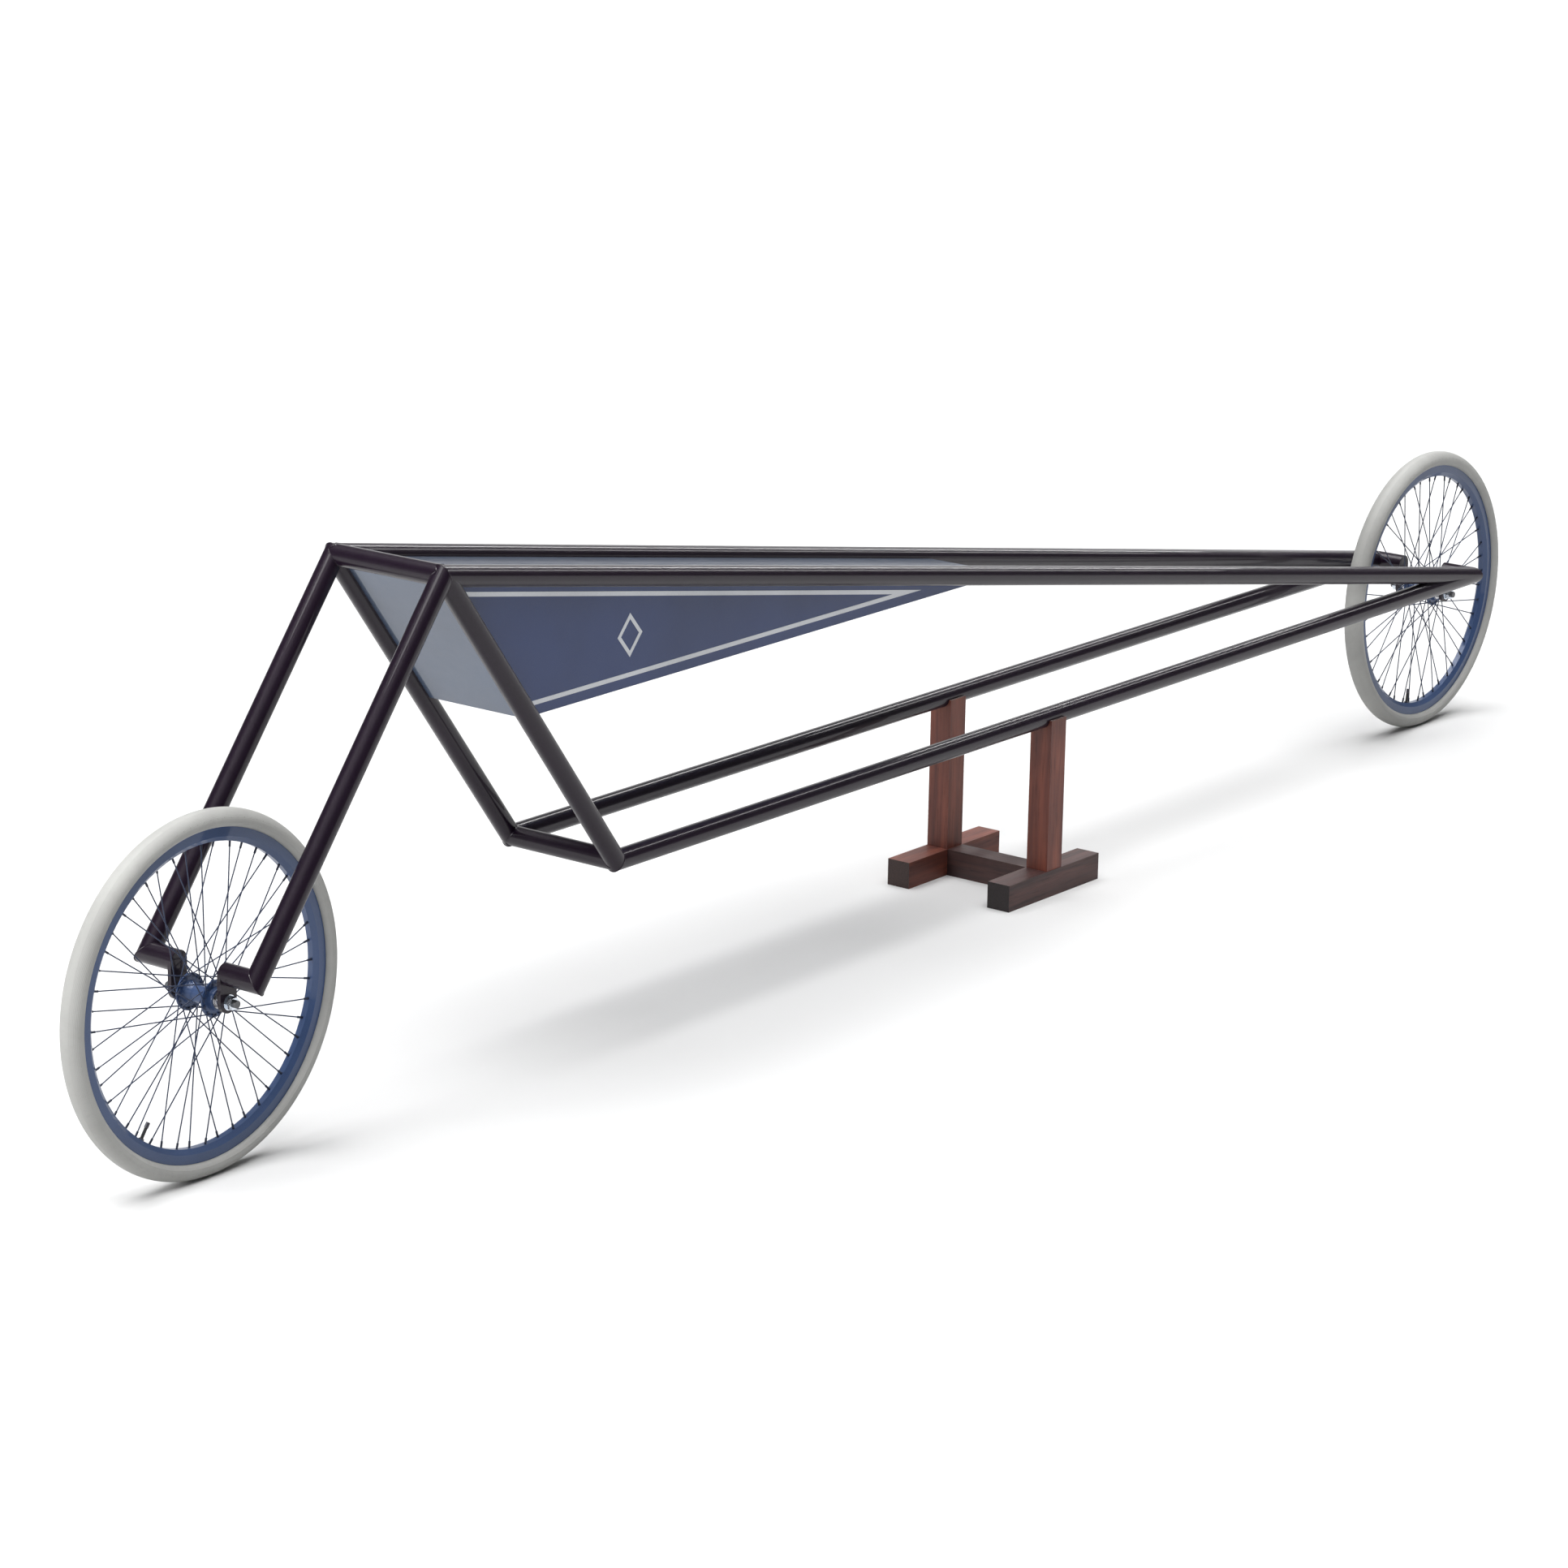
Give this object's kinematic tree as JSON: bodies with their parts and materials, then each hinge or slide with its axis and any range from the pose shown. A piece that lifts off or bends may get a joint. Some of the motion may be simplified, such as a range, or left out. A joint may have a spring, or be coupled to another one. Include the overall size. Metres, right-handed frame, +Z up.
{
  "type": "two-wheeled tube-frame vehicle",
  "caption": "Very long, low two-wheeled vehicle: welded tube frame, wedge-shaped sheet tank, spoked wheels, resting on a low hardwood stand.",
  "frame": {"origin": "on the floor, midway between the two axles, on the plane of symmetry", "axes": "+X forward along the vehicle, +Y to its left, +Z up"},
  "size_m": [4.777, 0.312, 1.0308],
  "materials": {
    "frame_paint": "gloss with fine metal flake",
    "tank_paint": "gloss metallic",
    "rim_paint": "gloss metallic",
    "hub_paint": "gloss metallic",
    "spoke_paint": "semi-gloss",
    "nipple_paint": "semi-gloss",
    "tyre_white": "matt",
    "tape_rubber": "matt",
    "tube_rubber": "matt",
    "valve_rubber": "satin",
    "valve_metal": "satin",
    "axle_steel": "satin",
    "bearing_steel": "polished",
    "nut_zinc": "bright",
    "stand_wood": "oiled",
    "dowel_wood": "raw"
  },
  "bodies": {
    "stand": {"stand_foot_left": "stand_wood", "stand_post_left": "stand_wood", "stand_foot_right": "stand_wood", "stand_post_right": "stand_wood", "stand_crossbeam": "stand_wood", "stand_dowels": "dowel_wood"},
    "front_wheel": {"front_spokes": "spoke_paint", "front_nipples": "nipple_paint", "front_rim": "rim_paint", "front_tyre": "tyre_white", "front_rim_tape": "tape_rubber", "front_inner_tube": "tube_rubber", "front_valve_stem": "valve_rubber", "front_valve_hardware": "valve_metal", "front_hub_shell": "hub_paint", "front_dust_caps": "bearing_steel", "front_bearing_balls": "bearing_steel"},
    "rear_wheel": {"rear_spokes": "spoke_paint", "rear_nipples": "nipple_paint", "rear_rim": "rim_paint", "rear_tyre": "tyre_white", "rear_rim_tape": "tape_rubber", "rear_inner_tube": "tube_rubber", "rear_valve_stem": "valve_rubber", "rear_valve_hardware": "valve_metal", "rear_hub_shell": "hub_paint", "rear_dust_caps": "bearing_steel", "rear_bearing_balls": "bearing_steel"},
    "frame": {"fork_leg_left": "frame_paint", "top_rail_left": "frame_paint", "lower_rail_left": "frame_paint", "down_tube_left": "frame_paint", "front_stub_left": "frame_paint", "rear_stub_left": "frame_paint", "front_dropout_left": "frame_paint", "rear_dropout_left": "frame_paint", "tank_side_left": "tank_paint", "fork_leg_right": "frame_paint", "top_rail_right": "frame_paint", "lower_rail_right": "frame_paint", "down_tube_right": "frame_paint", "front_stub_right": "frame_paint", "rear_stub_right": "frame_paint", "front_dropout_right": "frame_paint", "rear_dropout_right": "frame_paint", "tank_side_right": "tank_paint", "top_crossbar": "frame_paint", "lower_crossbar": "frame_paint", "tank_front": "tank_paint", "tank_top": "tank_paint", "tank_floor": "tank_paint", "front_axle": "axle_steel", "front_bearing_cones": "bearing_steel", "rear_axle": "axle_steel", "rear_bearing_cones": "bearing_steel", "axle_locknuts": "nut_zinc", "axle_washers": "nut_zinc", "axle_nuts": "nut_zinc"}
  },
  "joints": [
    {"name": "lift_off", "type": "slide", "parent": "stand", "child": "frame", "axis": [0, 0, 1], "range_m": [0, 0.15]},
    {"name": "front_wheel_spin", "type": "hinge", "parent": "frame", "child": "front_wheel", "pos_m": [2.0585, 0, 0.33], "axis": [0, 1, 0], "continuous": true},
    {"name": "rear_wheel_spin", "type": "hinge", "parent": "frame", "child": "rear_wheel", "pos_m": [-2.0585, 0, 0.33], "axis": [0, 1, 0], "continuous": true}
  ]
}
